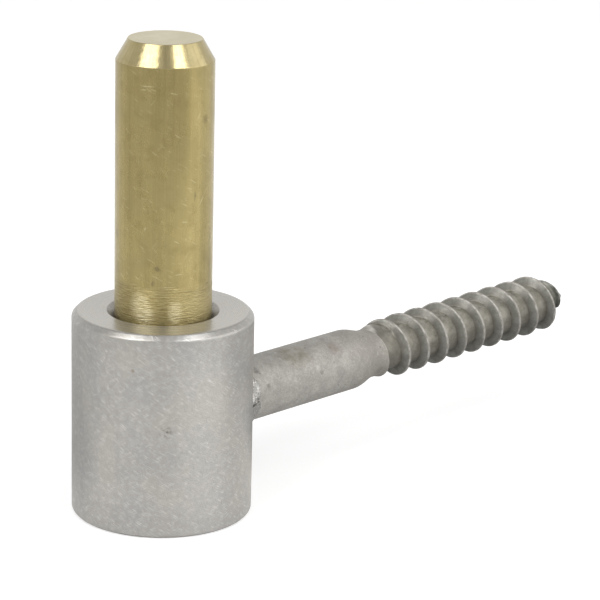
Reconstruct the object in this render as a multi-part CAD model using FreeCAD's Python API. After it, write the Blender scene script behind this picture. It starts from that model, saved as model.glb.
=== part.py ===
# Gate hinge pin: a brass pin pressed upright into a turned stainless barrel, with a coach screw
# welded square to the barrel's side. The gate's hinge eye drops over the pin and bears on the
# barrel's top face. Origin on the pin's axis at the barrel's base, +Z up the pin, +X along the screw.
import FreeCAD
import Part
import math
import os

# Barrel
barrel_diameter = 30.0
barrel_height = 34.5
barrel_top_chamfer = 0.9
barrel_base_chamfer = 0.5
bore_mouth_chamfer = 1.55
bore_base_chamfer = 0.8

# Hinge pin: the seat is turned down for the press fit and its shoulder hides in the bore's mouth
pin_diameter = 16.0
pin_height = 45.2
pin_tip_chamfer = 2.0
pin_tip_angle = 30.0
pin_seat_diameter = 15.5
pin_shoulder_drop = 0.7
pin_end_recess = 0.5
pin_lead_in = 0.6

# Coach screw: lengths follow one another outwards from the barrel's side
screw_height = 16.3
shank_diameter = 10.74
shank_length = 28.9
shoulder_length = 5.0
neck_diameter = 8.7
neck_length = 1.42
thread_diameter = 10.86
thread_rise = 4.1
thread_length = 42.28
taper_length = 3.9
taper_end_diameter = 6.3
nose_length = 1.0
nub_diameter = 4.0
nub_length = 2.5
nub_end_diameter = 0.8

# Thread groove, cut right-handed in one start
root_diameter = 7.7
thread_pitch = 5.1
flank_angle = 20.0
crest_width = 0.3
runout_turns = 0.4
point_root_diameter = 1.6
point_root_length = 3.5
point_flank_angle = 4.0
groove_past_nose = 2.9

# Weld beads, one on each side of the shank: length along it, width across the barrel, and height
weld_length = 3.2
weld_width = 2.9
weld_height = 8.4

barrel_radius = barrel_diameter / 2
bore_radius = pin_seat_diameter / 2
pin_radius = pin_diameter / 2
shank_radius = shank_diameter / 2
neck_radius = neck_diameter / 2
thread_radius = thread_diameter / 2
root_radius = root_diameter / 2

# The groove is cut in half-turn spans, each through a few sections, from just outside the crest
SPANS_PER_TURN = 2
SECTIONS_PER_SPAN = 6
CUT_MARGIN = 0.15

UP = FreeCAD.Vector(0, 0, 1)
ORIGIN = FreeCAD.Vector(0, 0, 0)


def at(radius, height):
    return FreeCAD.Vector(radius, 0, height)


def line(start, end):
    return Part.LineSegment(at(*start), at(*end)).toShape()


def chain(*corners):
    return [line(a, b) for a, b in zip(corners, corners[1:])]


def turned(edges):
    """The solid that a closed outline of (radius, height) edges sweeps round the Z axis."""
    return Part.Face(Part.Wire(edges)).revolve(ORIGIN, UP, 360)


def along_screw(shape):
    """A shape that was made along +Z from the origin, laid along the screw's axis."""
    turn = FreeCAD.Rotation(FreeCAD.Vector(1, 1, 1), 120)
    shape.Placement = FreeCAD.Placement(FreeCAD.Vector(0, 0, screw_height), turn)
    return shape


def barrel_cylinder():
    return Part.makeCylinder(barrel_radius, barrel_height)


def make_barrel():
    return turned(chain(
        (barrel_radius, barrel_base_chamfer),
        (barrel_radius, barrel_height - barrel_top_chamfer),
        (barrel_radius - barrel_top_chamfer, barrel_height),
        (bore_radius + bore_mouth_chamfer, barrel_height),
        (bore_radius, barrel_height - bore_mouth_chamfer),
        (bore_radius, bore_base_chamfer),
        (bore_radius + bore_base_chamfer, 0),
        (barrel_radius - barrel_base_chamfer, 0),
        (barrel_radius, barrel_base_chamfer),
    ))


def make_hinge_pin():
    top = barrel_height + pin_height
    shoulder = barrel_height - pin_shoulder_drop
    chamfer_length = pin_tip_chamfer / math.tan(math.radians(pin_tip_angle))
    return turned(chain(
        (0, pin_end_recess),
        (bore_radius - pin_lead_in, pin_end_recess),
        (bore_radius, pin_end_recess + pin_lead_in),
        (bore_radius, shoulder),
        (pin_radius, shoulder),
        (pin_radius, top - chamfer_length),
        (pin_radius - pin_tip_chamfer, top),
        (0, top),
        (0, pin_end_recess),
    ))


# Stations along the screw, measured from the pin's axis
shank_end = barrel_radius + shank_length
neck_start = shank_end + shoulder_length
neck_end = neck_start + neck_length
crest_start = neck_end + thread_rise
crest_end = crest_start + thread_length
taper_end = crest_end + taper_length
nose_end = taper_end + nose_length
tip = nose_end + nub_length
groove_end = nose_end + groove_past_nose


def make_screw_blank():
    """The screw before its thread is cut: shank, soft shoulder, neck, crest, blunt nose and nub."""
    shoulder = Part.BezierCurve()
    shoulder.setPoles([
        at(shank_radius, shank_end),
        at(shank_radius, shank_end + shoulder_length / 2),
        at(neck_radius, neck_start - shoulder_length / 2),
        at(neck_radius, neck_start),
    ])
    return turned([
        *chain((0, tip), (0, 0), (shank_radius, 0), (shank_radius, shank_end)),
        shoulder.toShape(),
        *chain(
            (neck_radius, neck_start),
            (neck_radius, neck_end),
            (thread_radius, crest_start),
            (thread_radius, crest_end),
            (taper_end_diameter / 2, taper_end),
            (nub_diameter / 2, nose_end),
            (nub_end_diameter / 2, tip),
            (0, tip),
        ),
    ])


def groove_section(turn):
    """The groove's four corners, in the half-plane through the axis, after this many turns.

    The outer corners keep one radius and width, so turns never meet. The floor comes in over
    the run-out, follows the root, and closes in on the axis along the point, where the flanks
    grow steeper so that the last turn is a thin fin.
    """
    station = neck_end + thread_pitch * turn
    angle = flank_angle
    if turn < runout_turns:
        floor = thread_radius + (root_radius - thread_radius) * turn / runout_turns
    elif station < crest_end:
        floor = root_radius
    else:
        share = min((station - crest_end) / point_root_length, 1)
        floor = root_radius + (point_root_diameter / 2 - root_radius) * share
        angle = flank_angle + (point_flank_angle - flank_angle) * share
    slope = math.tan(math.radians(angle))
    outer = thread_radius + CUT_MARGIN
    outer_half = (thread_pitch - crest_width) / 2 + CUT_MARGIN * slope
    floor_half = outer_half - (outer - floor) * slope
    side = FreeCAD.Vector(math.cos(math.tau * turn), math.sin(math.tau * turn), 0)
    return [
        side * floor + UP * (station - floor_half),
        side * floor + UP * (station + floor_half),
        side * outer + UP * (station + outer_half),
        side * outer + UP * (station - outer_half),
    ]


def make_groove_span(first_turn, last_turn):
    """One span of the groove's cutter, with four ruled walls and a flat cap at each end."""
    step = (last_turn - first_turn) / SECTIONS_PER_SPAN
    sections = [groove_section(first_turn + step * i) for i in range(SECTIONS_PER_SPAN + 1)]
    edges = []
    for points in zip(*sections):
        curve = Part.BSplineCurve()
        curve.interpolate(list(points))
        edges.append(curve.toShape())
    walls = [Part.makeRuledSurface(edges[i - 1], edges[i]) for i in range(len(edges))]
    caps = [Part.Face(Part.makePolygon(s + s[:1])) for s in (sections[0], sections[-1])]
    shell = Part.makeShell(walls + caps)
    shell.sewShape()
    return Part.makeSolid(Part.Shell(shell.Faces))


def make_coach_screw():
    turns = (groove_end - neck_end) / thread_pitch
    spans = math.ceil(turns * SPANS_PER_TURN)
    stops = [turns * i / spans for i in range(spans + 1)]
    groove = [make_groove_span(a, b) for a, b in zip(stops, stops[1:])]
    screw = make_screw_blank().cut(groove)
    return along_screw(screw).cut(barrel_cylinder())


def make_weld_bead():
    """Two round-ended beads beside the shank, cut to its curve within and to the barrel's behind."""
    toe = barrel_radius + weld_length
    foot_radius = shank_radius + weld_width
    foot = math.sqrt(barrel_radius**2 - foot_radius**2)
    bead = turned(chain(
        (shank_radius, toe),
        (shank_radius, foot),
        (foot_radius, foot),
        (shank_radius, toe),
    ))
    ends = Part.makeCylinder(
        weld_height / 2,
        2 * foot_radius,
        FreeCAD.Vector(toe - weld_height / 2, -foot_radius, screw_height),
        FreeCAD.Vector(0, 1, 0),
    )
    return along_screw(bead).cut(barrel_cylinder()).common(ends)


os.makedirs("parts", exist_ok=True)
pieces = {
    "barrel": make_barrel(),
    "hinge_pin": make_hinge_pin(),
    "coach_screw": make_coach_screw(),
    "weld_bead": make_weld_bead(),
}
for name, shape in pieces.items():
    solids = shape.Solids
    print(name, len(solids), "solid, valid", shape.isValid(), "volume", round(shape.Volume, 1))
    Part.makeCompound(solids).exportStep(f"parts/{name}.step")
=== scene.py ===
"""Gate hinge pin: a brass pin pressed upright into a turned stainless barrel, with a coach screw
welded square to the barrel's side. Lengths are in metres. The origin is on the pin's axis at the
barrel's base, +Z runs up the pin and +X out along the screw."""
import bpy
import bmesh
import math
from mathutils import Matrix, Vector, noise


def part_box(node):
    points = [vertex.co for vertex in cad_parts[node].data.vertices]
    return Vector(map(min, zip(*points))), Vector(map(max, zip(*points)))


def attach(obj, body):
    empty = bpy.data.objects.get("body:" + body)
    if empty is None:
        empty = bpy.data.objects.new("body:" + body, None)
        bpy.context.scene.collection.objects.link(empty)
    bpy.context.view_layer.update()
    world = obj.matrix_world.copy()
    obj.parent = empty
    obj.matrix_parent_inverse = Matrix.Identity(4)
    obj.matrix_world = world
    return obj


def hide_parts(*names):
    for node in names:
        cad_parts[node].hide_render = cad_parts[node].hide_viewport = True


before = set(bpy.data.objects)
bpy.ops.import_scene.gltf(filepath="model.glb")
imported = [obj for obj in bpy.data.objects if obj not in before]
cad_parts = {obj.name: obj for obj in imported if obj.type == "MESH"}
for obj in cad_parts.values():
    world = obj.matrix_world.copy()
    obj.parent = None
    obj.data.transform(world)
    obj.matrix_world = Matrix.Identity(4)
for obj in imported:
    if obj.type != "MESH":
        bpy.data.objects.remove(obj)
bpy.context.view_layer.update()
bpy.context.scene.view_settings.view_transform = "Standard"

# Barrel: stainless bar, turned to size, bored through for the pin and tumbled to a satin grey.
# Its top face is cut clean, because the gate's hinge eye bears on it, and both rims are eased.
MM = 0.001
barrel_low, barrel_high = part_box("barrel")
barrel_radius = -barrel_low.x
barrel_height = barrel_high.z
bore_radius = 7.75 * MM
mouth_radius = 9.3 * MM
mouth_depth = 1.55 * MM
bore_base = 0.8 * MM
bore_ease = 0.12 * MM
rim_top = 0.9 * MM
rim_ease = 0.32 * MM
rim_base = 0.5 * MM
base_ease = 0.3 * MM


def eased(corners, steps=6, margin=1.4):
    """A turned outline of (radius, height) points, with each corner eased over its third value.

    One more point on each side, a margin beyond the ease, keeps the flats flat.
    """
    outline = []
    for i, (radius, height, ease) in enumerate(corners):
        corner = Vector((radius, height))
        if ease == 0.0:
            outline.append(corner)
            continue
        back = (Vector(corners[i - 1][:2]) - corner).normalized() * ease
        onward = (Vector(corners[(i + 1) % len(corners)][:2]) - corner).normalized() * ease
        outline.append(corner + back * margin)
        for step in range(steps + 1):
            share = step / steps
            outline.append(corner + back * (1 - share) ** 2 + onward * share**2)
        outline.append(corner + onward * margin)
    return outline


def put(name, data):
    """A new object in the scene, at the origin."""
    piece = bpy.data.objects.new(name, data)
    bpy.context.collection.objects.link(piece)
    return piece


def turned(name, outline, closed, segments=192, sharp_angle=math.radians(38)):
    """A piece spun round the upright axis, mapped by arc length and by length along the outline."""
    spun = bmesh.new()
    surface = spun.loops.layers.uv.new("surface")
    widest = max(point.x for point in outline)
    rings = []
    for point in outline:
        on_axis = point.x < 1e-7
        count = 1 if on_axis else segments
        angles = [math.tau * k / count for k in range(count)]
        rings.append([
            spun.verts.new((point.x * math.cos(a), point.x * math.sin(a), point.y)) for a in angles
        ])
    along = 0.0
    for i in range(len(outline) if closed else len(outline) - 1):
        j = (i + 1) % len(outline)
        ahead = along + (outline[j] - outline[i]).length
        for k in range(segments):
            corners = {}
            for ring, turn, length in (
                (i, k, along), (i, k + 1, along), (j, k + 1, ahead), (j, k, ahead),
            ):
                vert = rings[ring][turn % len(rings[ring])]
                corners.setdefault(vert, (math.tau * widest * turn / segments, length))
            face = spun.faces.new(list(corners))
            face.smooth = True
            for loop in face.loops:
                loop[surface].uv = corners[loop.vert]
        along = ahead
    bmesh.ops.recalc_face_normals(spun, faces=spun.faces)
    mesh = bpy.data.meshes.new(name)
    spun.to_mesh(mesh)
    spun.free()
    mesh.set_sharp_from_angle(angle=sharp_angle)
    return put(name, mesh)


def place(tree, kind, sockets=None, **settings):
    """Adds a node. Each socket is given a plain value or the output that feeds it."""
    node = tree.nodes.new(kind)
    for key, value in settings.items():
        setattr(node, key, value)
    for key, value in (sockets or {}).items():
        if isinstance(value, bpy.types.NodeSocket):
            tree.links.new(value, node.inputs[key])
        else:
            node.inputs[key].default_value = value
    return node


def arith(tree, operation, *values):
    return place(tree, "ShaderNodeMath", dict(enumerate(values)), operation=operation).outputs[0]


def measure(tree, operation, *vectors):
    """A number taken from one or two vectors: a length, a distance or a dot product."""
    sockets = dict(enumerate(vectors))
    return place(tree, "ShaderNodeVectorMath", sockets, operation=operation).outputs["Value"]


def spread(tree, value, low, high, to_low=0.0, to_high=1.0, **settings):
    """The value's range from low to high, stretched to the other range and held at its ends."""
    sockets = {"Value": value, "From Min": low, "From Max": high, "To Min": to_low, "To Max": to_high}
    return place(tree, "ShaderNodeMapRange", sockets, **settings).outputs["Result"]


def tint(tree, share, first, second):
    sockets = {0: share, 6: first, 7: second}
    return place(tree, "ShaderNodeMix", sockets, data_type="RGBA").outputs[2]


def blend(tree, share, first, second):
    sockets = {0: share, 2: first, 3: second}
    return place(tree, "ShaderNodeMix", sockets, data_type="FLOAT").outputs[0]


def screen(red, green, blue):
    """A colour written as it looks on screen, 0 to 255, in linear values."""
    return tuple(((c / 255 + 0.055) / 1.055) ** 2.4 for c in (red, green, blue)) + (1.0,)


def marked(tree, colour, mark, strength, mark_colour):
    """The colour, turned part of the way to another where the mark lies."""
    return tint(tree, arith(tree, "MULTIPLY", mark, strength), colour, mark_colour)


def effect(name, output, **inputs):
    """A new shader group with a vector input, number inputs and one number output."""
    tree = bpy.data.node_groups.new(name, "ShaderNodeTree")
    tree.interface.new_socket("Vector", in_out="INPUT", socket_type="NodeSocketVector")
    for key, value in inputs.items():
        socket = tree.interface.new_socket(key, in_out="INPUT", socket_type="NodeSocketFloat")
        socket.default_value = value
    tree.interface.new_socket(output, in_out="OUTPUT", socket_type="NodeSocketFloat")
    return tree, place(tree, "NodeGroupInput").outputs


def worn(tree, group, vector, **inputs):
    """Places an effect's group with this material's own values and gives its output."""
    node = place(tree, "ShaderNodeGroup", None, node_tree=group)
    tree.links.new(vector, node.inputs["Vector"])
    for key, value in inputs.items():
        node.inputs[key].default_value = value
    return node.outputs[0]


def finish(name, metallic):
    """A new metal, with its node tree and its surface shader. Under 1, fine grain scatters the rest."""
    material = bpy.data.materials.new(name)
    material.use_nodes = True
    shader = material.node_tree.nodes["Principled BSDF"]
    shader.inputs["Metallic"].default_value = metallic
    shader.inputs["Specular IOR Level"].default_value = 0.0
    return material, material.node_tree, shader


def dress(tree, shader, colour, gloss, relief, strength, depth):
    """Gives the surface its colour, its roughness and a fine relief of this depth."""
    bump = place(tree, "ShaderNodeBump", {"Strength": strength, "Distance": depth, "Height": relief})
    for key, value in (("Base Color", colour), ("Roughness", gloss), ("Normal", bump.outputs[0])):
        tree.links.new(value, shader.inputs[key])


# Soft clouds of lighter and darker metal.
cloudy_tone, given = effect("cloudy_tone", "Tone", Scale=200.0, Low=0.34, High=0.66)
clouds = place(cloudy_tone, "ShaderNodeTexNoise", {
    "Vector": given["Vector"], "Scale": given["Scale"], "Detail": 4.0, "Roughness": 0.62,
}).outputs[0]
place(cloudy_tone, "NodeGroupOutput", {
    "Tone": spread(cloudy_tone, clouds, given["Low"], given["High"]),
})

# Fine scratches, all one way and gathered in patches.
short_scratches, given = effect(
    "short_scratches", "Scratches", Scale=3000.0, Turn=0.0, Length=12.0, Low=0.58, High=0.72,
)
laid = place(short_scratches, "ShaderNodeVectorRotate", {
    "Vector": given["Vector"], "Angle": given["Turn"],
}, rotation_type="Z_AXIS").outputs[0]
squeeze = place(short_scratches, "ShaderNodeCombineXYZ", {
    "X": arith(short_scratches, "DIVIDE", 1.0, given["Length"]), "Y": 1.0, "Z": 1.0,
}).outputs[0]
drawn_out = place(short_scratches, "ShaderNodeVectorMath", {0: laid, 1: squeeze}, operation="MULTIPLY")
lines = place(short_scratches, "ShaderNodeTexNoise", {
    "Vector": drawn_out.outputs[0], "Scale": given["Scale"], "Detail": 1.5, "Roughness": 0.5,
}).outputs[0]
patches = place(short_scratches, "ShaderNodeTexNoise", {
    "Vector": given["Vector"], "Scale": arith(short_scratches, "DIVIDE", given["Scale"], 10.0),
    "Detail": 1.0,
}).outputs[0]
place(short_scratches, "NodeGroupOutput", {
    "Scratches": arith(
        short_scratches, "MULTIPLY",
        spread(short_scratches, lines, given["Low"], given["High"]),
        spread(short_scratches, patches, 0.38, 0.6),
    ),
})

# Small round pits, in a share of the cells that the surface is divided into.
round_pits, given = effect("round_pits", "Pits", Scale=600.0, Share=0.2, Width=0.3)
cells = place(round_pits, "ShaderNodeTexVoronoi", {
    "Vector": given["Vector"], "Scale": given["Scale"],
})
chosen = arith(
    round_pits, "LESS_THAN",
    place(round_pits, "ShaderNodeSeparateColor", {"Color": cells.outputs["Color"]}).outputs[0],
    given["Share"],
)
place(round_pits, "NodeGroupOutput", {
    "Pits": arith(
        round_pits, "MULTIPLY", chosen,
        spread(round_pits, cells.outputs["Distance"], given["Width"], 0.04),
    ),
})

tumbled_steel, tree, shader = finish("tumbled_stainless", 0.8)
surface = place(tree, "ShaderNodeUVMap", uv_map="surface").outputs[0]
where = place(tree, "ShaderNodeTexCoord").outputs["Object"]
axes = place(tree, "ShaderNodeSeparateXYZ", {0: where}).outputs
top_face = spread(tree, axes["Z"], barrel_height - 0.1 * MM, barrel_height - 0.02 * MM)
level = place(tree, "ShaderNodeCombineXYZ", {"X": axes["X"], "Y": axes["Y"]}).outputs[0]
from_axis = measure(tree, "LENGTH", level)
facing_marks = place(tree, "ShaderNodeTexNoise", {
    "W": from_axis, "Scale": 7000.0, "Detail": 2.0,
}, noise_dimensions="1D").outputs[0]
upright = place(tree, "ShaderNodeMapping", {"Vector": surface, "Scale": (1.0, 0.1, 1.0)}).outputs[0]
mottle = worn(tree, cloudy_tone, surface, Scale=210.0)
patches = worn(tree, cloudy_tone, surface, Scale=760.0, Low=0.36, High=0.64)
blue_bands = worn(tree, cloudy_tone, upright, Scale=130.0, Low=0.38, High=0.62)
speckle = worn(tree, cloudy_tone, surface, Scale=5600.0, Low=0.34, High=0.66)
warmth = worn(tree, cloudy_tone, where, Scale=90.0, Low=0.4, High=0.62)
bright_lines = worn(
    tree, short_scratches, surface, Scale=10500.0, Turn=0.6, Length=20.0, Low=0.54, High=0.7,
)
dull_lines = worn(tree, short_scratches, surface, Scale=8600.0, Turn=1.3, Length=14.0, Low=0.53)
cross_lines = worn(tree, short_scratches, surface, Scale=10500.0, Turn=-0.5, Length=20.0, Low=0.54)
level_lines = worn(tree, short_scratches, surface, Scale=7600.0, Turn=0.05, Length=16.0, Low=0.54)
rust_spots = worn(tree, round_pits, surface, Scale=330.0, Share=0.035, Width=0.13)
colour = tint(tree, mottle, screen(165, 163, 159), screen(184, 181, 177))
for mark, strength, mark_colour in (
    (patches, 0.35, screen(160, 158, 154)),
    (blue_bands, 0.7, screen(160, 161, 161)),
    (warmth, 0.45, screen(192, 186, 175)),
):
    colour = marked(tree, colour, mark, strength, mark_colour)
for angle, half_width, strength, zone_colour in (
    (-108, 5.5, 0.35, screen(202, 199, 193)),
    (-134, 4.5, 0.25, screen(156, 154, 150)),
    (-79, 4.0, 0.3, screen(154, 152, 148)),
):
    turn = math.radians(angle)
    across = measure(tree, "DOT_PRODUCT", where, (-math.sin(turn), math.cos(turn), 0.0))
    outwards = measure(tree, "DOT_PRODUCT", where, (math.cos(turn), math.sin(turn), 0.0))
    edge, core = half_width * MM, 0.2 * half_width * MM
    zone = spread(tree, arith(tree, "ABSOLUTE", across), edge, core)
    zone = arith(tree, "MULTIPLY", zone, arith(tree, "GREATER_THAN", outwards, 0.0))
    colour = marked(tree, colour, zone, strength, zone_colour)
from_middle = arith(tree, "ABSOLUTE", arith(tree, "SUBTRACT", axes["Z"], barrel_height / 2))
near_rims = spread(tree, from_middle, 11.5 * MM, 16.0 * MM, 0.0, 0.45)
colour = tint(tree, near_rims, colour, screen(159, 157, 153))
for mark, strength, mark_colour in (
    (speckle, 0.58, screen(153, 150, 145)),
    (level_lines, 0.4, screen(150, 148, 144)),
    (bright_lines, 0.6, screen(220, 218, 214)),
    (cross_lines, 0.42, screen(216, 213, 208)),
    (dull_lines, 0.5, screen(142, 139, 134)),
    (rust_spots, 0.5, screen(128, 112, 92)),
    (top_face, 0.8, screen(191, 188, 181)),
):
    colour = marked(tree, colour, mark, strength, mark_colour)
nick_turn = math.radians(-130.5)
nick_height = 18.4 * MM
nick_place = Matrix.Rotation(nick_turn, 3, "Z") @ Vector((barrel_radius, 0, nick_height))
from_nick = measure(tree, "DISTANCE", where, nick_place)
nick = arith(
    tree, "MULTIPLY", spread(tree, from_nick, 1.3 * MM, 0.2 * MM),
    worn(tree, cloudy_tone, where, Scale=1400.0, Low=0.5, High=0.62),
)
colour = marked(tree, colour, nick, 0.75, screen(96, 92, 86))
side_gloss = spread(tree, mottle, 0.0, 1.0, 0.36, 0.44)
side_gloss = arith(tree, "MULTIPLY_ADD", bright_lines, -0.12, side_gloss)
rim = spread(tree, axes["Z"], barrel_height - 1.1 * MM, barrel_height - 0.8 * MM)
rim_gloss = spread(tree, mottle, 0.0, 1.0, 0.26, 0.33)
gloss = blend(tree, rim, side_gloss, rim_gloss)
top_gloss = spread(tree, facing_marks, 0.3, 0.7, 0.24, 0.32)
gloss = blend(tree, top_face, gloss, top_gloss)
tree.links.new(spread(tree, top_face, 0.0, 1.0, 0.8, 0.82), shader.inputs["Metallic"])
grain = arith(tree, "MULTIPLY_ADD", speckle, 0.5, arith(tree, "SUBTRACT", dull_lines, bright_lines))
grain = arith(tree, "MULTIPLY_ADD", nick, -3.0, grain)
relief = blend(tree, top_face, grain, arith(tree, "MULTIPLY", facing_marks, 0.2))
dress(tree, shader, colour, gloss, relief, strength=0.5, depth=0.012 * MM)

barrel = turned("satin_barrel", eased([
    (barrel_radius, rim_base, base_ease),
    (barrel_radius, barrel_height - rim_top, rim_ease),
    (barrel_radius - rim_top, barrel_height, rim_ease),
    (mouth_radius, barrel_height, bore_ease),
    (bore_radius, barrel_height - mouth_depth, 0.0),
    (bore_radius, bore_base, 0.0),
    (bore_radius + bore_base, 0.0, bore_ease),
    (barrel_radius - rim_base, 0.0, base_ease),
]), closed=True)
barrel.data.materials.append(tumbled_steel)
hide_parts("barrel")
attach(barrel, "root")

# Hinge pin: drawn brass rod with a turned lead chamfer, pressed into the barrel's bore. The last
# few millimetres above the barrel are skimmed in the lathe, and the sawn end is left matt.
pin_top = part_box("hinge_pin")[1].z
pin_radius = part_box("hinge_pin")[1].y
pin_shoulder = barrel_height - 0.7 * MM
shoulder_ease = 0.06 * MM
pin_end = 0.5 * MM
lead_in = 0.6 * MM
end_ease = 0.12 * MM
chamfer_width = 2.0 * MM
chamfer_angle = math.radians(30)
chamfer_start = pin_top - chamfer_width / math.tan(chamfer_angle)
chamfer_ease = 0.1 * MM
skim_top = 40.2 * MM

drawn_brass, tree, shader = finish("drawn_brass", 0.92)
surface = place(tree, "ShaderNodeUVMap", uv_map="surface").outputs[0]
where = place(tree, "ShaderNodeTexCoord").outputs["Object"]
height = place(tree, "ShaderNodeSeparateXYZ", {0: where}).outputs["Z"]
ragged = worn(tree, cloudy_tone, where, Scale=260.0)
skim_line = arith(tree, "ADD", height, arith(tree, "MULTIPLY", ragged, -1.2 * MM))
skimmed = spread(tree, skim_line, skim_top, skim_top - 0.9 * MM)
chamfer = spread(tree, height, chamfer_start - 0.05 * MM, chamfer_start + 0.05 * MM)
sawn_end = spread(tree, height, pin_top - 0.06 * MM, pin_top - 0.01 * MM)
lengthwise = place(tree, "ShaderNodeMapping", {
    "Vector": surface, "Scale": (1.0, 0.012, 1.0),
}).outputs[0]
streaks = worn(tree, cloudy_tone, lengthwise, Scale=2600.0, Low=0.3, High=0.7)
bands = worn(tree, cloudy_tone, lengthwise, Scale=420.0, Low=0.36, High=0.64)
around = place(tree, "ShaderNodeMapping", {
    "Vector": surface, "Scale": (0.12, 1.0, 1.0), "Rotation": (0.0, 0.0, 0.02),
}).outputs[0]
lathe_lines = worn(tree, cloudy_tone, around, Scale=4600.0, Low=0.36, High=0.64)
lathe_grain = worn(tree, cloudy_tone, place(tree, "ShaderNodeMapping", {
    "Vector": surface, "Scale": (0.03, 1.0, 1.0),
}).outputs[0], Scale=16000.0, Low=0.36, High=0.64)
smears = worn(tree, cloudy_tone, where, Scale=170.0, Low=0.42, High=0.68)
dull_bands = worn(tree, cloudy_tone, place(tree, "ShaderNodeMapping", {
    "Vector": surface, "Scale": (1.0, 0.16, 1.0), "Location": (0.0, 0.004, 0.0),
}).outputs[0], Scale=230.0, Low=0.4, High=0.62)
tarnish = worn(tree, cloudy_tone, surface, Scale=420.0, Low=0.5, High=0.74)
nicks = worn(tree, short_scratches, surface, Scale=1300.0, Turn=-0.9, Length=7.0, Low=0.7, High=0.78)
fine_nicks = worn(
    tree, short_scratches, surface, Scale=2600.0, Turn=0.5, Length=5.0, Low=0.62, High=0.74,
)
specks = worn(tree, cloudy_tone, surface, Scale=4200.0, Low=0.58, High=0.74)
dents = worn(tree, round_pits, surface, Scale=230.0, Share=0.05, Width=0.22)


def on_side(angle, up, lean, half_length, half_width):
    """One mark on the pin's side, at an angle round it and a height, leaning from level."""
    facing = Vector((math.cos(math.radians(angle)), math.sin(math.radians(angle)), 0.0))
    level = Vector((-facing.y, facing.x, 0.0))
    upwards = Vector((0.0, 0.0, 1.0))
    slant = math.radians(lean)
    from_middle = place(tree, "ShaderNodeVectorMath", {
        0: where, 1: facing * pin_radius + upwards * up,
    }, operation="SUBTRACT").outputs[0]
    ways = {
        "X": (level * math.cos(slant) + upwards * math.sin(slant)) / half_length,
        "Y": (upwards * math.cos(slant) - level * math.sin(slant)) / half_width,
        "Z": facing / pin_radius,
    }
    shares = {key: measure(tree, "DOT_PRODUCT", from_middle, way) for key, way in ways.items()}
    away = measure(tree, "LENGTH", place(tree, "ShaderNodeCombineXYZ", shares).outputs[0])
    return spread(tree, away, 1.0, 0.45)


# Painted reflection: three pale upright bands on the pin's right side.
pale_streak = arith(
    tree, "MULTIPLY", on_side(-94.5, 55 * MM, 90, 28 * MM, 2.2 * MM),
    spread(tree, bands, 0.0, 1.0, 0.4, 1.0),
)
high_streak = on_side(-79, 68 * MM, 90, 13 * MM, 1.8 * MM)
low_streak = on_side(-108, 49 * MM, 90, 15 * MM, 3.2 * MM)
colour = tint(tree, streaks, screen(146, 132, 87), screen(165, 150, 102))
for mark, strength, mark_colour in (
    (bands, 0.45, screen(177, 162, 112)),
    (dull_bands, 0.35, screen(140, 127, 85)),
    (pale_streak, 0.65, screen(184, 168, 116)),
    (high_streak, 0.2, screen(186, 170, 118)),
    (low_streak, 0.5, screen(184, 168, 116)),
    (smears, 0.35, screen(146, 135, 96)),
    (tarnish, 0.4, screen(132, 117, 74)),
    (nicks, 0.55, screen(216, 205, 165)),
    (fine_nicks, 0.5, screen(204, 192, 150)),
    (specks, 0.35, screen(190, 178, 138)),
    (dents, 0.5, screen(104, 92, 62)),
):
    colour = marked(tree, colour, mark, strength, mark_colour)
for angle, up, lean, half_length, half_width in (
    (-153, 73.3, 1, 1.5, 0.12),
    (-158, 72.7, 0, 0.6, 0.11),
    (-123, 72.25, -12, 0.8, 0.12),
    (-85, 54.3, 58, 0.9, 0.11),
    (-108.5, 51.25, -5, 0.65, 0.1),
    (-118, 48.0, -28, 0.6, 0.1),
    (-115, 42.6, 4, 0.85, 0.08),
    (-155, 50.1, 80, 0.4, 0.12),
    (-130, 40.5, 3, 1.0, 0.13),
):
    scratch = on_side(angle, up * MM, lean, half_length * MM, half_width * MM)
    colour = marked(tree, colour, scratch, 0.55, screen(214, 203, 164))
for angle, up, lean, half_length, half_width in (
    (-95, 55.2, 85, 1.1, 0.28),
    (-140.4, 43.6, -30, 0.75, 0.5),
    (-145, 41.1, 70, 0.6, 0.4),
):
    smudge = arith(
        tree, "MULTIPLY", on_side(angle, up * MM, lean, half_length * MM, half_width * MM),
        worn(tree, cloudy_tone, where, Scale=1100.0, Low=0.3, High=0.6),
    )
    colour = marked(tree, colour, smudge, 0.55, screen(104, 95, 74))
turned_colour = tint(tree, lathe_lines, screen(150, 136, 92), screen(176, 162, 116))
# Painted highlights: bright patches on the skimmed band where the two softboxes would reflect, broken up
# by the lathe lines.
for angle, up, half_length, half_width in (
    (-161, 37.0, 2.2, 2.9),
    (-154, 35.6, 1.9, 1.8),
    (-119, 36.3, 1.5, 2.3),
):
    rub = on_side(angle, up * MM, 0, half_length * MM, half_width * MM)
    rub = arith(tree, "MULTIPLY", rub, spread(tree, lathe_lines, 0.2, 0.8, 0.25, 1.0))
    turned_colour = marked(tree, turned_colour, rub, 0.6, screen(222, 212, 176))
# Painted light: the skimmed band made lighter on its right side.
bright_side = on_side(-88, 36.6 * MM, 90, 3.2 * MM, 5.5 * MM)
turned_colour = marked(tree, turned_colour, bright_side, 0.4, screen(190, 176, 130))
colour = tint(tree, skimmed, colour, turned_colour)
chamfer_wear = worn(tree, cloudy_tone, where, Scale=800.0, Low=0.32, High=0.68)
chamfer_colour = tint(tree, streaks, screen(167, 154, 115), screen(182, 170, 130))
chamfer_colour = marked(tree, chamfer_colour, chamfer_wear, 0.35, screen(150, 136, 90))
colour = tint(tree, chamfer, colour, chamfer_colour)
end_colour = tint(tree, smears, screen(208, 200, 174), screen(218, 211, 187))
colour = tint(tree, sawn_end, colour, end_colour)
gloss = arith(tree, "MULTIPLY_ADD", smears, 0.08, spread(tree, streaks, 0.0, 1.0, 0.3, 0.22))
gloss = blend(tree, skimmed, gloss, 0.3)
gloss = blend(tree, chamfer, gloss, spread(tree, chamfer_wear, 0.0, 1.0, 0.16, 0.24))
gloss = blend(tree, sawn_end, gloss, 0.5)
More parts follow.
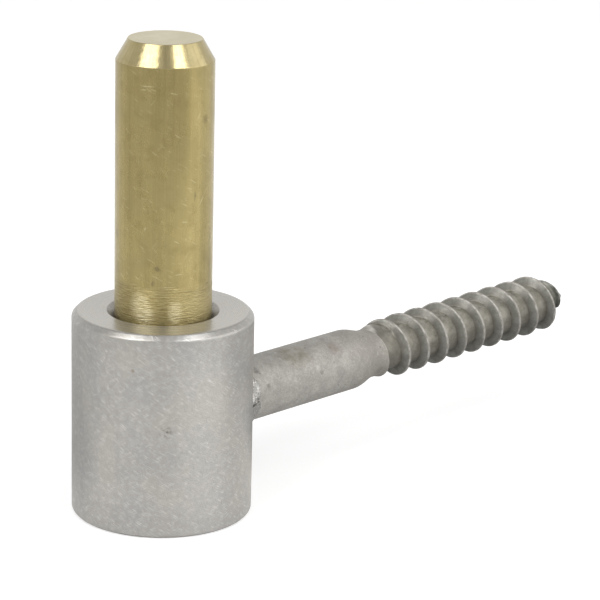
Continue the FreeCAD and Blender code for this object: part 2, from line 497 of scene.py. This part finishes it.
drawn_relief = arith(tree, "MULTIPLY_ADD", nicks, 0.6, arith(tree, "MULTIPLY", streaks, 0.5))
drawn_relief = arith(tree, "MULTIPLY_ADD", dents, -2.0, drawn_relief)
turned_relief = arith(tree, "MULTIPLY_ADD", lathe_grain, 2.2, arith(tree, "MULTIPLY", lathe_lines, 7.0))
relief = blend(tree, skimmed, drawn_relief, turned_relief)
relief = blend(tree, chamfer, relief, arith(tree, "MULTIPLY", chamfer_wear, 2.0))
dress(tree, shader, colour, gloss, relief, strength=0.6, depth=0.012 * MM)

hinge_pin = turned("brass_pin", eased([
    (0.0, pin_end, 0.0),
    (bore_radius - lead_in, pin_end, end_ease),
    (bore_radius, pin_end + lead_in, end_ease),
    (bore_radius, pin_shoulder, 0.0),
    (pin_radius, pin_shoulder, shoulder_ease),
    (pin_radius, chamfer_start, chamfer_ease),
    (pin_radius - chamfer_width, pin_top, end_ease),
    (0.0, pin_top, 0.0),
]), closed=False)
hinge_pin.data.materials.append(drawn_brass)
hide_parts("hinge_pin")
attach(hinge_pin, "root")

# Coach screw: a pickled stainless rod, necked down and cut with one coarse right-hand thread for
# timber, ending in a blunt nose with a small nub. Its plain end is coped to the barrel's side.
screw_height = 16.3 * MM
shank_radius = 5.37 * MM
thread_pitch = 5.1 * MM
flank_angle = math.radians(20)
point_flank_angle = math.radians(4)
rows_per_turn = 32
floor_rows = 0.38
flank_rows = 0.75
columns = 96
turns_before_groove = 8.25
hair = 0.001 * MM
sewing_gap = 0.004 * MM
seam_gap = 0.002 * MM
screw_sizes = {
    "Barrel radius": barrel_radius,
    "Axis height": screw_height,
    "Shank radius": shank_radius,
    "Shank end": 43.9 * MM,
    "Neck start": 48.9 * MM,
    "Neck end": 50.32 * MM,
    "Neck radius": 4.35 * MM,
    "Crest start": 54.42 * MM,
    "Crest end": 96.7 * MM,
    "Crest radius": 5.43 * MM,
    "Taper end": 100.6 * MM,
    "Taper radius": 3.15 * MM,
    "Nose end": 101.6 * MM,
    "Nub radius": 2.0 * MM,
    "Tip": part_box("coach_screw")[1].x,
    "Tip radius": 0.4 * MM,
    "Pitch": thread_pitch,
    "Crest width": 0.3 * MM,
    "Flank slope": math.tan(flank_angle),
    "Root radius": 3.85 * MM,
    "Point root radius": 0.8 * MM,
    "Point root end": 100.2 * MM,
    "Point flank slope": math.tan(point_flank_angle),
    "Run-out turns": 0.4,
    "Edge ease": 0.08 * MM,
}

# The groove runs on a sheet laid round the axis on a slant, so that its rows follow the helix.
tree = screw_tree = bpy.data.node_groups.new("coach_screw_thread", "GeometryNodeTree")
for key in screw_sizes:
    screw_tree.interface.new_socket(key, in_out="INPUT", socket_type="NodeSocketFloat")
for key in ("Rows", "Columns"):
    screw_tree.interface.new_socket(key, in_out="INPUT", socket_type="NodeSocketInt")
for key in ("First station", "Sheet length"):
    screw_tree.interface.new_socket(key, in_out="INPUT", socket_type="NodeSocketFloat")
screw_tree.interface.new_socket("Finish", in_out="INPUT", socket_type="NodeSocketMaterial")
screw_tree.interface.new_socket("Geometry", in_out="OUTPUT", socket_type="NodeSocketGeometry")
given = place(tree, "NodeGroupInput").outputs
sheet = place(tree, "GeometryNodeMeshGrid", {
    "Size X": given["Sheet length"], "Size Y": 1.0,
    "Vertices X": given["Rows"], "Vertices Y": given["Columns"],
}).outputs["Mesh"]
flat = place(tree, "ShaderNodeSeparateXYZ", {
    0: place(tree, "GeometryNodeInputPosition").outputs[0],
}).outputs
row = arith(tree, "ADD", flat["X"], arith(tree, "DIVIDE", given["Sheet length"], 2.0))
turn = arith(tree, "ADD", flat["Y"], 0.5)
angle = arith(tree, "MULTIPLY", turn, math.tau)

# Rows crowd together on the flanks and the crest, where the shape turns sharply: the groove's floor
# takes the first share of each half pitch, then the flank, then the crest.
even_station = arith(tree, "ADD", row, given["First station"])
past_neck = arith(tree, "SUBTRACT", even_station, given["Neck end"])
even_turns = arith(tree, "DIVIDE", past_neck, given["Pitch"])
nearest = arith(tree, "ROUND", even_turns)
from_middle = arith(tree, "SUBTRACT", even_turns, nearest)
share = arith(tree, "MULTIPLY", arith(tree, "ABSOLUTE", from_middle), 2.0)
mouth_half = arith(tree, "DIVIDE", arith(tree, "SUBTRACT", given["Pitch"], given["Crest width"]), 2.0)
flank_height = arith(tree, "SUBTRACT", given["Crest radius"], given["Root radius"])
flank_width = arith(tree, "MULTIPLY", given["Flank slope"], flank_height)
crest_half = arith(tree, "DIVIDE", given["Crest width"], 2.0)
aside = 0.0
for start, end, width in (
    (0.0, floor_rows, arith(tree, "SUBTRACT", mouth_half, flank_width)),
    (floor_rows, flank_rows, flank_width),
    (flank_rows, 1.0, crest_half),
):
    aside = arith(tree, "ADD", aside, spread(tree, share, start, end, 0.0, width))
row_station = arith(
    tree, "ADD", arith(tree, "MULTIPLY_ADD", nearest, given["Pitch"], given["Neck end"]),
    arith(tree, "MULTIPLY", arith(tree, "SIGN", from_middle), aside),
)
station = arith(tree, "MULTIPLY_ADD", turn, given["Pitch"], row_station)

# The blank that the thread is cut in: each change of radius comes on over its own stretch.
blank = given["Shank radius"]
for start, end, before, after, easing in (
    ("Shank end", "Neck start", "Shank radius", "Neck radius", "SMOOTHSTEP"),
    ("Neck end", "Crest start", "Neck radius", "Crest radius", "LINEAR"),
    ("Crest end", "Taper end", "Crest radius", "Taper radius", "LINEAR"),
    ("Taper end", "Nose end", "Taper radius", "Nub radius", "LINEAR"),
    ("Nose end", "Tip", "Nub radius", "Tip radius", "LINEAR"),
):
    change = arith(tree, "SUBTRACT", given[after], given[before])
    step = spread(tree, station, given[start], given[end], 0.0, change, interpolation_type=easing)
    blank = arith(tree, "ADD", blank, step)

# The groove: its floor runs in from the crest, keeps to the root and closes in along the point,
# where the flanks grow steeper so that the last turn is a thin fin.
turns_cut = arith(tree, "ADD", nearest, turn)
centre = arith(tree, "MULTIPLY_ADD", turns_cut, given["Pitch"], given["Neck end"])
groove_floor = spread(
    tree, turns_cut, 0.0, given["Run-out turns"], given["Crest radius"], given["Root radius"],
)
closing_in = arith(tree, "SUBTRACT", given["Root radius"], given["Point root radius"])
point_share = spread(tree, centre, given["Crest end"], given["Point root end"])
groove_floor = arith(tree, "SUBTRACT", groove_floor, arith(tree, "MULTIPLY", point_share, closing_in))
steepening = arith(tree, "SUBTRACT", given["Point flank slope"], given["Flank slope"])
flank_slope = arith(tree, "MULTIPLY_ADD", point_share, steepening, given["Flank slope"])
clear_of_blank = spread(tree, turns_cut, -0.05, 0.0, 1.0 * MM, 0.0)
groove_floor = arith(tree, "ADD", groove_floor, clear_of_blank)
depth = arith(tree, "SUBTRACT", given["Crest radius"], groove_floor)
floor_half = arith(tree, "SUBTRACT", mouth_half, arith(tree, "MULTIPLY", depth, flank_slope))
past_floor = arith(tree, "SUBTRACT", aside, floor_half)
eased_foot = arith(tree, "SMOOTH_MAX", past_floor, 0.0, given["Edge ease"])
groove = arith(tree, "ADD", groove_floor, arith(tree, "DIVIDE", eased_foot, flank_slope))
radius = arith(tree, "SMOOTH_MIN", blank, groove, given["Edge ease"])

# Marks for the finish: the bright edge, worn and with a painted highlight, the painted shade at the
# foot of each flank, all that is cut, the flanks alone, their outer band, and the last turn at the
# point.
over_groove = arith(tree, "SUBTRACT", blank, groove)
cut_away = spread(tree, over_groove, 0.0, 0.1 * MM)
marks = {
    "worn_edge": spread(tree, arith(tree, "ABSOLUTE", over_groove), 0.2 * MM, 0.0),
    "flank_foot": arith(
        tree, "MULTIPLY", cut_away, spread(tree, arith(tree, "ABSOLUTE", past_floor), 0.16 * MM, 0.0),
    ),
    "cut_away": cut_away,
    "flank": arith(tree, "MULTIPLY", cut_away, spread(tree, past_floor, 0.0, 0.1 * MM)),
    "outer_band": spread(tree, over_groove, 0.92 * MM, 0.78 * MM),
    "point": point_share,
}
for key, value in marks.items():
    sheet = place(tree, "GeometryNodeStoreNamedAttribute", {
        "Geometry": sheet, "Name": key, "Value": value,
    }, data_type="FLOAT", domain="POINT").outputs[0]

# The sheet's first and last rows close on the axis, and its ends are held to the barrel and the tip.
last_row = arith(tree, "SUBTRACT", given["Sheet length"], hair)
open_rows = arith(
    tree, "MULTIPLY", arith(tree, "GREATER_THAN", row, hair), arith(tree, "LESS_THAN", row, last_row),
)
radius = arith(tree, "MULTIPLY", radius, open_rows)
sideways = arith(tree, "MULTIPLY", radius, arith(tree, "COSINE", angle))
upwards = arith(tree, "MULTIPLY", radius, arith(tree, "SINE", angle))
barrel_square = arith(tree, "POWER", given["Barrel radius"], 2.0)
side_square = arith(tree, "MULTIPLY", sideways, sideways)
cope = arith(tree, "SQRT", arith(tree, "SUBTRACT", barrel_square, side_square))
held = arith(tree, "MAXIMUM", arith(tree, "MINIMUM", station, given["Tip"]), cope)
wrapped = place(tree, "GeometryNodeSetPosition", {
    "Geometry": sheet,
    "Position": place(tree, "ShaderNodeCombineXYZ", {
        "X": held, "Y": sideways, "Z": arith(tree, "ADD", upwards, given["Axis height"]),
    }).outputs[0],
}).outputs[0]
sewn = place(tree, "GeometryNodeMergeByDistance", {
    "Geometry": wrapped, "Distance": sewing_gap,
}).outputs[0]
smooth = place(tree, "GeometryNodeSetShadeSmooth", {"Geometry": sewn}).outputs[0]
whole = place(tree, "GeometryNodeRealizeInstances", {"Geometry": smooth}).outputs[0]
place(tree, "NodeGroupOutput", {
    "Geometry": place(tree, "GeometryNodeSetMaterial", {
        "Geometry": whole, "Material": given["Finish"],
    }).outputs[0],
})

pickled_steel, tree, shader = finish("pickled_stainless", 0.7)
where = place(tree, "ShaderNodeTexCoord").outputs["Object"]
axes = place(tree, "ShaderNodeSeparateXYZ", {0: where}).outputs
worn_edge, flank_foot, cut_away, flank, outer_band, point = (
    place(tree, "ShaderNodeAttribute", attribute_name=key).outputs["Fac"] for key in marks
)


def stain(x, angle, size):
    """A ragged spot on the shank, at a station along it and an angle round it."""
    middle = Vector((x, shank_radius * math.cos(angle), screw_height + shank_radius * math.sin(angle)))
    away = measure(tree, "DISTANCE", where, middle)
    ragged = worn(tree, cloudy_tone, where, Scale=700.0, Low=0.3, High=0.7)
    return arith(tree, "MULTIPLY", spread(tree, away, size, size * 0.35), ragged)


blotches = worn(tree, cloudy_tone, where, Scale=420.0, Low=0.36, High=0.64)
fine_grain = worn(tree, cloudy_tone, where, Scale=3400.0, Low=0.34, High=0.66)
cut_tone = worn(tree, cloudy_tone, where, Scale=640.0, Low=0.38, High=0.62)
scale_marks = worn(tree, cloudy_tone, where, Scale=1500.0, Low=0.54, High=0.7)
flecks = worn(tree, round_pits, where, Scale=2500.0, Share=0.14, Width=0.4)
pits = worn(tree, round_pits, where, Scale=1000.0, Share=0.14, Width=0.26)
from_side = place(tree, "ShaderNodeCombineXYZ", {"X": axes["X"], "Y": axes["Z"]}).outputs[0]
pale_lines, dark_lines = (
    worn(tree, short_scratches, from_side, Scale=scale, Turn=lean, Length=6.0, Low=0.56, High=0.7)
    for scale, lean in ((6800.0, 0.7), (6400.0, -0.2))
)
colour = tint(tree, blotches, screen(165, 162, 157), screen(180, 177, 171))
towards_neck = spread(tree, axes["X"], 38 * MM, 46 * MM, 0.0, 0.8)
colour = tint(tree, towards_neck, colour, screen(158, 154, 147))
for mark, strength, mark_colour in (
    (fine_grain, 0.45, screen(142, 139, 133)),
    (scale_marks, 0.3, screen(198, 195, 189)),
    (flecks, 0.3, screen(214, 211, 205)),
    (pale_lines, 0.3, screen(206, 203, 197)),
    (dark_lines, 0.35, screen(134, 130, 124)),
    (pits, 0.55, screen(98, 94, 87)),
):
    colour = marked(tree, colour, mark, strength, mark_colour)
for x, angle, size, strength, stain_colour in (
    (28.0, 1.98, 3.6, 0.6, screen(122, 115, 92)),
    (30.6, 2.1, 2.2, 0.5, screen(122, 115, 92)),
    (37.7, 2.22, 2.0, 0.5, screen(124, 108, 94)),
    (19.9, 2.81, 0.55, 0.8, screen(90, 86, 80)),
    (32.8, 2.88, 0.55, 0.7, screen(96, 92, 86)),
    (32.1, 2.7, 0.7, 0.6, screen(212, 209, 203)),
    (18.6, 2.2, 0.9, 0.9, screen(78, 75, 70)),
    (49.0, -2.6, 1.7, 0.7, screen(104, 100, 94)),
):
    spot = stain(x * MM, angle, size * MM)
    colour = marked(tree, colour, spot, strength, stain_colour)
root_colour = tint(tree, cut_tone, screen(128, 125, 116), screen(153, 150, 141))
root_colour = marked(tree, root_colour, fine_grain, 0.35, screen(120, 115, 105))
root_colour = marked(tree, root_colour, pits, 0.6, screen(84, 78, 67))
flank_colour = tint(tree, cut_tone, screen(145, 144, 137), screen(170, 169, 162))
flank_colour = marked(tree, flank_colour, fine_grain, 0.35, screen(120, 119, 113))
inner_band = arith(tree, "SUBTRACT", 1.0, outer_band)
flank_colour = marked(tree, flank_colour, inner_band, 0.4, screen(128, 126, 118))
above_axis = arith(tree, "SUBTRACT", axes["Z"], screw_height)
round_axis = arith(tree, "ARCTAN2", arith(tree, "MULTIPLY", axes["Y"], -1.0), above_axis)
# Painted light on the flanks: darker left of the top as seen round the axis, and a bright glint a little
# right of the top, where the left softbox would reflect.
dull_side = spread(tree, round_axis, math.radians(6), math.radians(-14))
flank_colour = marked(tree, flank_colour, dull_side, 0.5, screen(106, 105, 98))
from_rub = arith(tree, "ABSOLUTE", arith(tree, "SUBTRACT", round_axis, math.radians(21)))
rubbed_side = arith(
    tree, "MULTIPLY", spread(tree, from_rub, math.radians(22), math.radians(4)),
    worn(tree, cloudy_tone, where, Scale=1100.0, Low=0.25, High=0.6),
)
flank_colour = marked(tree, flank_colour, rubbed_side, 0.65, screen(214, 212, 205))
# Painted highlight: the groove floor paler near the top of the screw.
rubbed_top = arith(
    tree, "MULTIPLY", spread(tree, above_axis, 2.4 * MM, 3.7 * MM),
    worn(tree, cloudy_tone, where, Scale=900.0, Low=0.42, High=0.6),
)
root_colour = marked(tree, root_colour, rubbed_top, 0.5, screen(204, 200, 190))
run_in = spread(tree, axes["X"], 54.5 * MM, 51.5 * MM)
root_colour = marked(tree, root_colour, run_in, 0.75, screen(118, 115, 107))
thread_colour = tint(tree, flank, root_colour, flank_colour)
colour = tint(tree, cut_away, colour, thread_colour)
# Painted shade in the crease at the foot of each flank.
colour = marked(tree, colour, flank_foot, 0.4, screen(96, 92, 83))
# Darker over the last turn at the point.
scorched_point = spread(tree, point, 0.1, 0.35, 0.0, 0.75)
point_colour = tint(tree, blotches, screen(92, 93, 86), screen(108, 109, 101))
colour = tint(tree, scorched_point, colour, point_colour)
# The crest edges, worn bright and with a painted highlight, also along the first turn's edge.
rubbed = arith(
    tree, "MULTIPLY", worn_edge, worn(tree, cloudy_tone, where, Scale=900.0, Low=0.42, High=0.62),
)
colour = marked(tree, colour, rubbed, 0.8, screen(220, 218, 212))
first_edge = arith(tree, "MULTIPLY", worn_edge, run_in)
colour = marked(tree, colour, first_edge, 0.7, screen(212, 209, 203))
plain_gloss = spread(tree, blotches, 0.0, 1.0, 0.68, 0.6)
cut_gloss = spread(tree, cut_tone, 0.0, 1.0, 0.46, 0.32)
gloss = blend(tree, cut_away, plain_gloss, cut_gloss)
relief = arith(tree, "MULTIPLY_ADD", blotches, 0.5, fine_grain)
relief = arith(tree, "MULTIPLY_ADD", pits, -2.0, relief)
dress(tree, shader, colour, gloss, relief, strength=0.7, depth=0.03 * MM)

row_gap = thread_pitch / rows_per_turn
first_station = screw_sizes["Neck end"] - turns_before_groove * thread_pitch
rows = math.ceil((screw_sizes["Tip"] - first_station) / row_gap) + 2
screw_sizes.update({
    "Rows": rows + 1,
    "Columns": columns + 1,
    "First station": first_station,
    "Sheet length": rows * row_gap,
    "Finish": pickled_steel,
})
coach_screw = put("threaded_screw", bpy.data.meshes.new("threaded_screw"))
rule = coach_screw.modifiers.new("thread", "NODES")
rule.node_group = screw_tree
for item in screw_tree.interface.items_tree:
    if item.in_out == "INPUT":
        rule[item.identifier] = screw_sizes[item.name]
shaped = coach_screw.evaluated_get(bpy.context.evaluated_depsgraph_get())
screw_mesh = bpy.data.meshes.new_from_object(shaped)
coach_screw.modifiers.remove(rule)
coach_screw.data = screw_mesh

# What lies together along the seam is merged, faces of no area go, and every face is turned outwards.
shell = bmesh.new()
shell.from_mesh(screw_mesh)
bmesh.ops.remove_doubles(shell, verts=shell.verts, dist=seam_gap)
bmesh.ops.dissolve_degenerate(shell, edges=shell.edges, dist=seam_gap)
bmesh.ops.recalc_face_normals(shell, faces=shell.faces)
shell.to_mesh(screw_mesh)
shell.free()
screw_mesh.set_sharp_from_angle(angle=math.radians(50))
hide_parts("coach_screw")
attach(coach_screw, "root")

# Weld beads: a short run of filler on each side of the shank where it meets the barrel, laid in two
# blobs that run down the joint and are left rough as they froze.
weld_length = 3.2 * MM
weld_width = 2.9 * MM
weld_half_height = 4.2 * MM
weld_half_angle = math.asin(weld_half_height / shank_radius)
weld_root = 0.4 * MM
weld_root_depth = 0.3 * MM
edge_tuck = 0.06 * MM
blob_gap = 0.02
blob_gap_width = 0.035
blob_gap_depth = 0.45
weld_steps = 130
face_steps = 20


def barrel_side(radius, across=1.0):
    """How far out the barrel's side lies, at a radius from the screw's axis.

    Across is the squared cosine of the angle round that axis: the barrel curves away only sideways.
    """
    return math.sqrt(barrel_radius**2 - across * radius**2)


weld_reach = barrel_radius + weld_length - barrel_side(shank_radius)

bead = bmesh.new()
for side in (0.0, math.pi):
    rings = []
    for k in range(weld_steps + 1):
        run = 2 * k / weld_steps - 1
        angle = side + run * weld_half_angle
        across = math.cos(angle) ** 2
        fullness = math.sqrt(max(0.0, 1 - run**4))
        notch = 1 - blob_gap_depth * math.exp(-(((run - blob_gap) / blob_gap_width) ** 2))
        wander = noise.noise(Vector((run * 5.0, side, 3.0)))
        toe_reach = weld_reach * fullness * (0.93 + 0.07 * wander) * notch
        toe = Vector((barrel_side(shank_radius, across) + toe_reach, shank_radius - edge_tuck))
        low_end = max(0.0, -math.sin(angle) / math.sin(weld_half_angle))
        thinned = 1 - 0.55 * low_end**2
        foot_radius = shank_radius + weld_width * fullness * (0.9 + 0.1 * wander) * thinned
        foot_radius = min(foot_radius, weld_half_height / max(abs(math.sin(run * weld_half_angle)), 0.1))
        foot = Vector((barrel_side(foot_radius, across) - edge_tuck, foot_radius))
        outwards = Vector((foot.y - toe.y, toe.x - foot.x))
        outwards = outwards.normalized() if outwards.length > 1e-6 else Vector((0.0, 0.0))
        section = []
        for step in range(face_steps + 1):
            along = step / face_steps
            point = toe.lerp(foot, along)
            crown = math.sin(math.pi * along) * fullness
            in_mm = Vector((point.x, point.y * math.cos(angle), point.y * math.sin(angle))) * 1000
            lump = noise.fractal(in_mm * 1.3, 0.7, 2.2, 5)
            section.append(point + outwards * crown * (0.14 + 0.26 * lump - 0.4 * (1 - notch)) * MM)
        root_radius = shank_radius - weld_root
        section.append(Vector((barrel_side(root_radius, across) - weld_root_depth, root_radius)))
        rings.append([
            bead.verts.new((p.x, p.y * math.cos(angle), screw_height + p.y * math.sin(angle)))
            for p in section
        ])
    for this, following in zip(rings, rings[1:]):
        for i in range(len(this)):
            j = (i + 1) % len(this)
            bead.faces.new((this[i], following[i], following[j], this[j])).smooth = True
    bead.faces.new(rings[0])
    bead.faces.new(rings[-1])
bmesh.ops.recalc_face_normals(bead, faces=bead.faces)
weld_mesh = bpy.data.meshes.new("weld_run")
bead.to_mesh(weld_mesh)
bead.free()
weld_mesh.set_sharp_from_angle(angle=math.radians(60))
weld_bead = put("weld_run", weld_mesh)

raw_weld, tree, shader = finish("raw_weld", 0.9)
where = place(tree, "ShaderNodeTexCoord").outputs["Object"]
glints = worn(tree, cloudy_tone, where, Scale=2300.0, Low=0.38, High=0.62)
scorch = worn(tree, cloudy_tone, where, Scale=520.0, Low=0.48, High=0.68)
blowholes = worn(tree, round_pits, where, Scale=800.0, Share=0.2, Width=0.3)
colour = tint(tree, glints, screen(164, 161, 156), screen(242, 240, 236))
colour = marked(tree, colour, scorch, 0.55, screen(112, 108, 100))
height = place(tree, "ShaderNodeSeparateXYZ", {0: where}).outputs["Z"]
lower_blob = spread(tree, height, screw_height + 1.1 * MM, screw_height + 0.4 * MM)
# Painted shade in the notch between the two blobs.
from_lap = arith(tree, "ABSOLUTE", arith(tree, "SUBTRACT", height, screw_height - 0.1 * MM))
lap = spread(tree, from_lap, 0.3 * MM, 0.1 * MM)
for mark, strength, mark_colour in (
    (lower_blob, 0.75, screen(138, 136, 132)),
    (lap, 0.8, screen(82, 79, 74)),
    (blowholes, 0.7, screen(70, 66, 60)),
):
    colour = marked(tree, colour, mark, strength, mark_colour)
gloss = spread(tree, glints, 0.0, 1.0, 0.4, 0.22)
relief = arith(tree, "MULTIPLY_ADD", blowholes, -1.5, glints)
dress(tree, shader, colour, gloss, relief, strength=0.9, depth=0.1 * MM)
weld_mesh.materials.append(raw_weld)
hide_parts("weld_bead")
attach(weld_bead, "root")

# Studio: a plain white table, a softbox on each side of the camera, a small one high on the right for
# the barrel's rim and a weak panel below it. Table and surroundings look white to the camera and in
# the metal, and keep the shadow.
camera_turn = math.radians(-46.0)
camera_rise = math.radians(16.722)
camera_roll = math.radians(-1.387)
camera_distance = 440.0 * MM
aim_height = 30.0 * MM
aim_right = 22.535 * MM
aim_up = 5.801 * MM
focal_pixels = 2676.29
picture_pixels = 600
level_right = Vector((math.cos(camera_turn), math.sin(camera_turn), 0.0))
to_camera = Vector((
    math.sin(camera_turn) * math.cos(camera_rise),
    -math.cos(camera_turn) * math.cos(camera_rise),
    math.sin(camera_rise),
))
level_up = to_camera.cross(level_right)
image_right = level_right * math.cos(camera_roll) - level_up * math.sin(camera_roll)
image_up = level_right * math.sin(camera_roll) + level_up * math.cos(camera_roll)
camera_place = Vector((0.0, 0.0, aim_height)) + image_right * aim_right + image_up * aim_up
camera_place += to_camera * camera_distance
camera_data = bpy.data.cameras.new("camera")
camera_data.sensor_width = 36.0
camera_data.lens = focal_pixels * camera_data.sensor_width / picture_pixels
camera_data.clip_start = 0.01
camera = put("camera", camera_data)
camera.matrix_world = Matrix.Translation(camera_place) @ Matrix(
    (image_right, image_up, to_camera)
).transposed().to_4x4()
bpy.context.scene.camera = camera


def seen_white(tree):
    """1 where a ray comes from the camera, or by reflection or through glass."""
    rays = place(tree, "ShaderNodeLightPath").outputs
    seen = arith(tree, "MAXIMUM", rays["Is Camera Ray"], rays["Is Glossy Ray"])
    return arith(tree, "MAXIMUM", seen, rays["Is Transmission Ray"])


world = bpy.data.worlds.new("studio")
world.use_nodes = True
bpy.context.scene.world = world
sky = world.node_tree.nodes["Background"]
sky.inputs["Color"].default_value = (1.0, 1.0, 1.0, 1.0)
tree = world.node_tree
direction = place(tree, "ShaderNodeTexCoord").outputs["Generated"]
upward = place(tree, "ShaderNodeSeparateXYZ", {0: direction}).outputs["Z"]
dim_overhead = spread(tree, upward, 0.35, 0.72, 1.0, 0.6)
fill_light = 0.5
sky_strength = spread(tree, seen_white(tree), 0.0, 1.0, fill_light, dim_overhead)
tree.links.new(sky_strength, sky.inputs["Strength"])


def paper(name, grey):
    """A matt paper of one grey that can glow white, with its node tree and its surface shader."""
    material, tree, shader = finish(name, 0.0)
    shader.inputs["Base Color"].default_value = (grey, grey, grey, 1.0)
    shader.inputs["Roughness"].default_value = 1.0
    shader.inputs["Emission Color"].default_value = (1.0, 1.0, 1.0, 1.0)
    return material, tree, shader


table_half = 2.0
table_glow = 0.55
table_mesh = bpy.data.meshes.new("table")
table_mesh.from_pydata([
    (x * table_half, y * table_half, 0.0) for x, y in ((-1, -1), (1, -1), (1, 1), (-1, 1))
], [], [(0, 1, 2, 3)])
table = put("table", table_mesh)
table_top, tree, shader = paper("white_table", 0.6)
glow = arith(tree, "MULTIPLY", seen_white(tree), table_glow)
tree.links.new(glow, shader.inputs["Emission Strength"])
table_mesh.materials.append(table_top)

# Lamps: each has a bearing from the camera's side and a rise, in degrees, and is aimed at the object.
lamp_aim = Vector((0.02, 0.0, 0.03))
lamp_distance = 0.8
camera_side = Vector((to_camera.x, to_camera.y, 0.0)).normalized()
for name, bearing, rise, width, height, brightness in (
    ("left_softbox", -46.25, 49, 0.462, 0.46, 4.2),
    ("right_softbox", 44, 45, 0.31, 0.36, 4.2),
    ("rim_softbox", 72, 63, 0.2, 0.2, 4.0),
    ("right_panel", 79, 20, 1.1, 0.7, 0.9),
):
    way = Matrix.Rotation(math.radians(bearing), 3, "Z") @ camera_side * math.cos(math.radians(rise))
    way.z = math.sin(math.radians(rise))
    lamp_data = bpy.data.lights.new(name, "AREA")
    lamp_data.shape = "RECTANGLE"
    lamp_data.size = width
    lamp_data.size_y = height
    lamp_data.energy = brightness * math.pi * width * height
    lamp = put(name, lamp_data)
    lamp.rotation_mode = "QUATERNION"
    lamp.rotation_quaternion = way.to_track_quat("Z", "Y")
    lamp.location = lamp_aim + way * lamp_distance

# Grey cards lie on the table behind the object and before it, where only the metal sees them. They
# are painted shade in the metal's reflections, and the white card painted light. Each has three
# reaches from the pin's axis, and stops that give a bearing and how light it is there.
card_lift = 0.4 * MM
card_finish, tree, shader = paper("grey_card", 0.0)
lightness = place(tree, "ShaderNodeAttribute", attribute_name="lightness").outputs["Fac"]
tree.links.new(lightness, shader.inputs["Emission Strength"])
front = math.atan2(to_camera.y, to_camera.x)
for name, reaches, stops in (
    ("left_card", (0.018, 0.03, 0.115), (
        (-78, 1.0), (-94, 0.82), (-112, 0.68), (-140, 0.62), (-175, 0.62),
    )),
    ("right_card", (0.058, 0.066, 0.125), ((76, 1.0), (94, 0.84), (112, 0.7), (126, 0.4))),
    ("edge_card", (0.02, 0.03, 0.125), ((126, 1.0), (132, 0.3), (175, 0.3))),
    ("white_card", (0.19, 0.25, 0.5), ((92, 1.0), (106, 1.2), (160, 1.2), (175, 1.0))),
    ("front_card", (0.2, 0.27, 0.6), (
        (-105, 1.0), (-80, 0.85), (-40, 0.74), (0, 0.74), (40, 0.78), (62, 1.0),
    )),
):
    corners = []
    shades = []
    for i, reach in enumerate(reaches):
        for turn_from_front, shade in stops:
            bearing = front + math.radians(turn_from_front)
            corners.append((reach * math.cos(bearing), reach * math.sin(bearing), card_lift))
            shades.append(shade if i else 1.0)
    count = len(stops)
    card_mesh = bpy.data.meshes.new(name)
    card_mesh.from_pydata(corners, [], [
        (row + i, row + i + 1, row + count + i + 1, row + count + i)
        for row in (0, count) for i in range(count - 1)
    ])
    card_mesh.attributes.new("lightness", "FLOAT", "POINT").data.foreach_set("value", shades)
    card_mesh.materials.append(card_finish)
    card = put(name, card_mesh)
    card.visible_camera = False
    card.visible_diffuse = False
    card.visible_shadow = False
    card.visible_transmission = False
